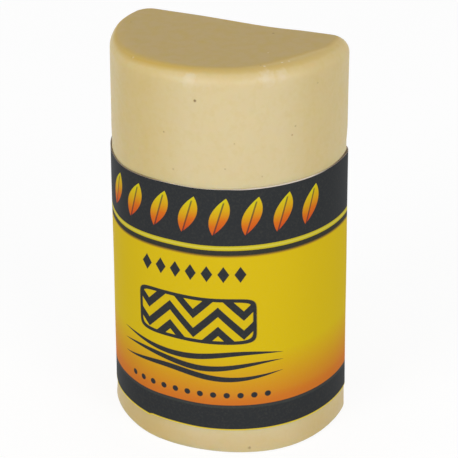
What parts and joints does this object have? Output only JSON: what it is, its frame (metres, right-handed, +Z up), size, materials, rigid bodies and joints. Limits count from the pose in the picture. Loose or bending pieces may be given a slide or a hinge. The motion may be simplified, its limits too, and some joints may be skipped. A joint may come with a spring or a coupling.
{
  "type": "furniture repair wax stick",
  "caption": "Short D-section stick of soft filler wax for furniture repair, with a wrap-around printed label lapped on its flat back.",
  "frame": {"origin": "on the base face, at the centre of the curve of the bulging front", "axes": "+Z up the stick, +Y towards the flat back, so the bulging front faces -Y"},
  "size_m": [0.0322, 0.0212, 0.0541],
  "materials": {
    "wax": "soft filler wax, waxy low gloss",
    "adhesive": "clear pressure-sensitive adhesive",
    "label": "printed and varnished, satin"
  },
  "bodies": {
    "root": {"wax_block": "wax", "label_adhesive": "adhesive", "label_film": "label"}
  },
  "joints": []
}
